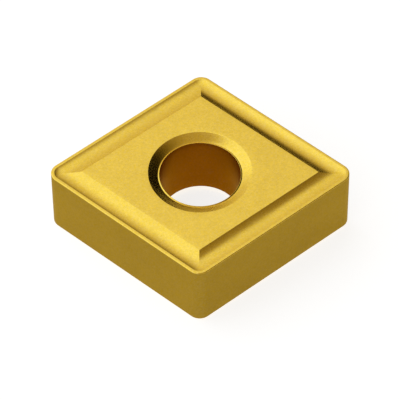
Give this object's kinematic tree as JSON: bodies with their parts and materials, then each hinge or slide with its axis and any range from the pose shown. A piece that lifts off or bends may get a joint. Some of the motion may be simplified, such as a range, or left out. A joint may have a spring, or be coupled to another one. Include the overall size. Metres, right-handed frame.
{
  "type": "carbide turning insert",
  "caption": "Gold-coated rhombic carbide turning insert, double-sided, with a chip groove round each flat seat and a countersunk clamping bore.",
  "frame": {"origin": "centre of the lower seat, on the axis of the clamping bore", "axes": "+Z along the clamping bore towards the upper seat, +X along the long diagonal towards one 80 degree cutting nose, +Y along the short diagonal"},
  "size_m": [0.0188, 0.016, 0.0049],
  "materials": {
    "coated_carbide": "satin titanium nitride coating over sintered carbide"
  },
  "bodies": {
    "root": {"insert_body": "coated_carbide"}
  },
  "joints": []
}
